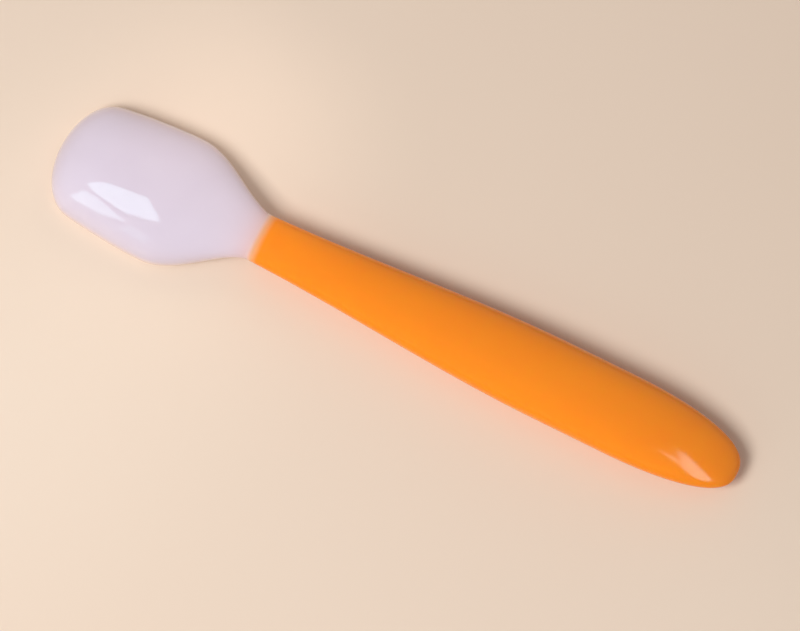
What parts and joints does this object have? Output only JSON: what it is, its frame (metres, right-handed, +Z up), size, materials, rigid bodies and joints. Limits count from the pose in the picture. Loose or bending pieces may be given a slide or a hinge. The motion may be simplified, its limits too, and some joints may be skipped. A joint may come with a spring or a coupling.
{
  "type": "baby spoon",
  "caption": "Soft-tipped feeding spoon lying face down: see-through silicone bowl with a ribbed stiff core inside a fat rounded soft grip.",
  "frame": {"origin": "on the table, under the middle of the spoon's length and width", "axes": "+X from the bowl's tip to the end of the grip, +Z up from the table that the spoon lies face down on, Y across"},
  "size_m": [0.15, 0.0276, 0.0106],
  "materials": {
    "silicone": "milky see-through silicone with a soft gloss",
    "core_plastic": "moulded matte",
    "grip_soft": "smooth satin gloss"
  },
  "bodies": {
    "root": {"bowl_head": "silicone", "core": "core_plastic", "grip": "grip_soft"}
  },
  "joints": []
}
